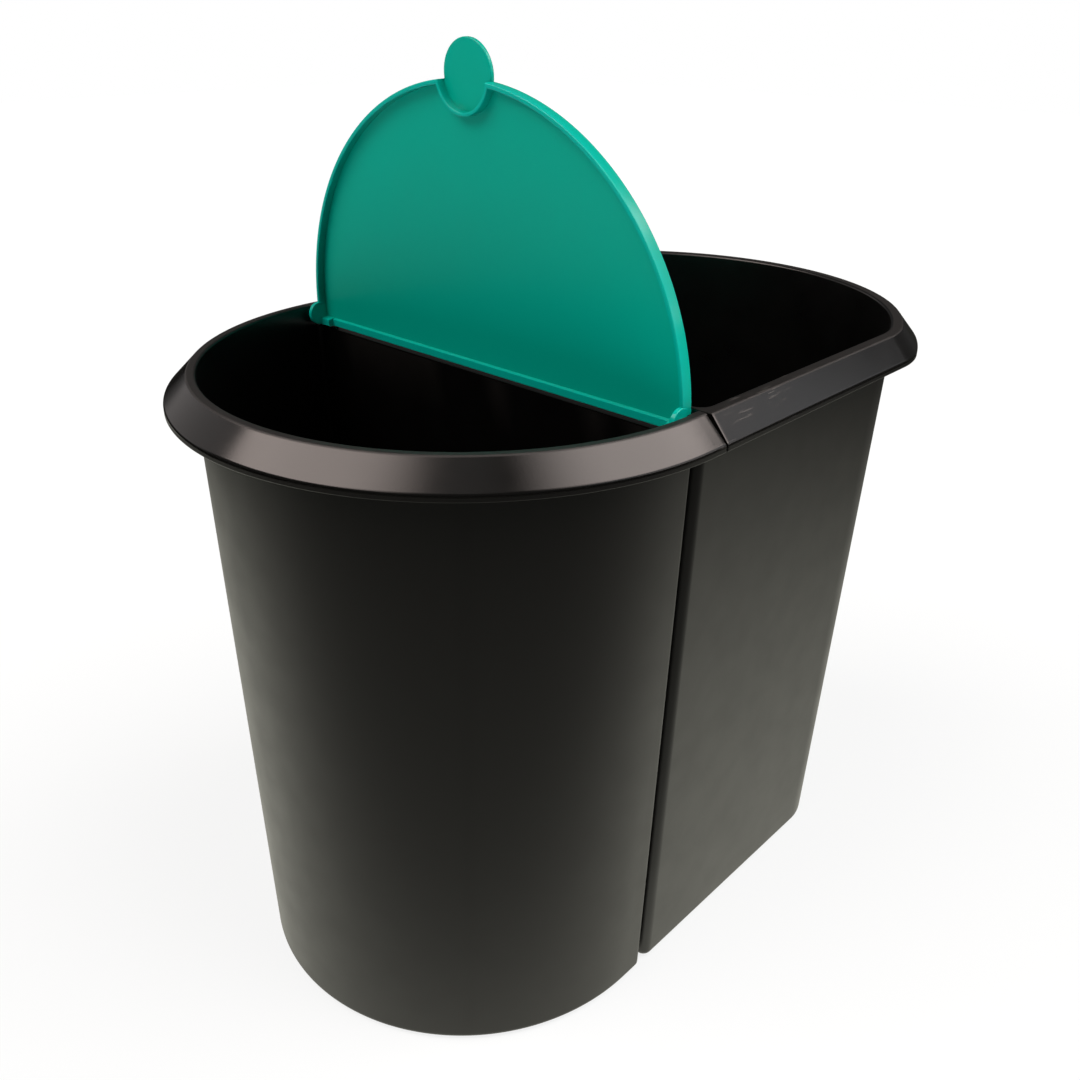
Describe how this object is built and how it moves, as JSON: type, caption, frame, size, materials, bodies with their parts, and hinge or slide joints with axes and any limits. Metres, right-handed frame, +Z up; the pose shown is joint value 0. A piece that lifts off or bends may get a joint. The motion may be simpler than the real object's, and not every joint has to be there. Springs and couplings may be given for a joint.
{
  "type": "double recycling bin",
  "caption": "Double office recycling bin: a D-shaped front bin hooked on a longer round-ended rear bin, dark plastic, with a green flap on the front opening",
  "frame": {"origin": "on the floor, under the middle of the oval that the two rims make", "axes": "+Z up; X across the bins, along the flap's hinge; +Y from the front bin to the rear bin"},
  "size_m": [0.2646, 0.3942, 0.4305],
  "materials": {
    "bin_plastic": "dark charcoal polypropylene, satin, with a fine moulded grain",
    "flap_plastic": "teal green polypropylene, satin"
  },
  "bodies": {
    "rear_bin": {"rear_bin": "bin_plastic"},
    "front_bin": {"front_bin": "bin_plastic"},
    "flap_lid": {"flap_lid": "flap_plastic"}
  },
  "joints": [
    {"name": "front_bin_lift", "type": "slide", "parent": "rear_bin", "child": "front_bin", "axis": [0, 0, 1], "range_m": [0, 0.05]},
    {"name": "flap_hinge", "type": "hinge", "parent": "front_bin", "child": "flap_lid", "pos_m": [0, -0.06435, 0.2982], "axis": [1, 0, 0], "range_deg": [-11, 88.2]}
  ]
}
